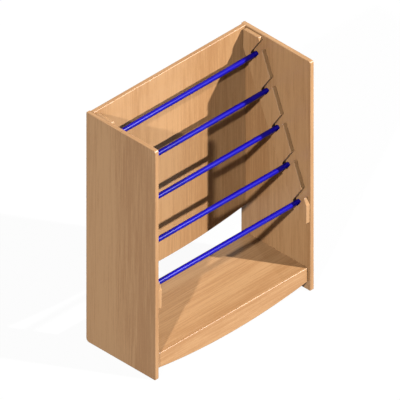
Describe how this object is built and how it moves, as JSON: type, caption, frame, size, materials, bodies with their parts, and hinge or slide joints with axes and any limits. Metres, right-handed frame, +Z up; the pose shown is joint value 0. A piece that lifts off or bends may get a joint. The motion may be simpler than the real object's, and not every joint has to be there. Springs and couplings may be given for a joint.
{
  "type": "periodical display rack",
  "caption": "Free-standing beech rack for periodicals: board sides, bowed back and plinth, a bottom shelf, and sawtooth plates whose slanted slots hold lift-out rods.",
  "frame": {"origin": "on the floor under the middle of the rack's box", "axes": "+X across the rack to its right-hand side seen from the front, -Y towards the front, +Z up"},
  "size_m": [0.8, 0.35, 1],
  "materials": {
    "board_beech": "beech, clear satin lacquer",
    "dowel_beech": "plain fluted beech",
    "rod_blue": "ultramarine blue powder coat, semi-gloss",
    "plug_plastic": "dark blue moulded plastic",
    "bolt_steel": "zinc-plated steel",
    "cam_zinc": "die-cast zinc"
  },
  "bodies": {
    "carcass": {"side_panel_left": "board_beech", "side_panel_right": "board_beech", "back_panel": "board_beech", "bottom_shelf": "board_beech", "front_plinth": "board_beech", "profile_plate_left": "board_beech", "profile_plate_right": "board_beech", "shelf_dowels": "dowel_beech", "back_dowels": "dowel_beech", "plate_dowels": "dowel_beech", "plinth_dowels": "dowel_beech", "shelf_cam_bolts": "bolt_steel", "back_cam_bolts": "bolt_steel", "plinth_cam_bolts": "bolt_steel", "shelf_cam_housings": "cam_zinc", "back_cam_housings": "cam_zinc", "plinth_cam_housings": "cam_zinc"},
    "rod_1": {"rod_tube_1": "rod_blue", "rod_plugs_1": "plug_plastic"},
    "rod_2": {"rod_tube_2": "rod_blue", "rod_plugs_2": "plug_plastic"},
    "rod_3": {"rod_tube_3": "rod_blue", "rod_plugs_3": "plug_plastic"},
    "rod_4": {"rod_tube_4": "rod_blue", "rod_plugs_4": "plug_plastic"},
    "rod_5": {"rod_tube_5": "rod_blue", "rod_plugs_5": "plug_plastic"}
  },
  "joints": [
    {"name": "rod_1_lift", "type": "slide", "parent": "carcass", "child": "rod_1", "axis": [0, -0.5446, 0.8387], "range_m": [0, 0.09]},
    {"name": "rod_2_lift", "type": "slide", "parent": "carcass", "child": "rod_2", "axis": [0, -0.5446, 0.8387], "range_m": [0, 0.09]},
    {"name": "rod_3_lift", "type": "slide", "parent": "carcass", "child": "rod_3", "axis": [0, -0.5446, 0.8387], "range_m": [0, 0.09]},
    {"name": "rod_4_lift", "type": "slide", "parent": "carcass", "child": "rod_4", "axis": [0, -0.5446, 0.8387], "range_m": [0, 0.09]},
    {"name": "rod_5_lift", "type": "slide", "parent": "carcass", "child": "rod_5", "axis": [0, -0.5446, 0.8387], "range_m": [0, 0.09]}
  ]
}
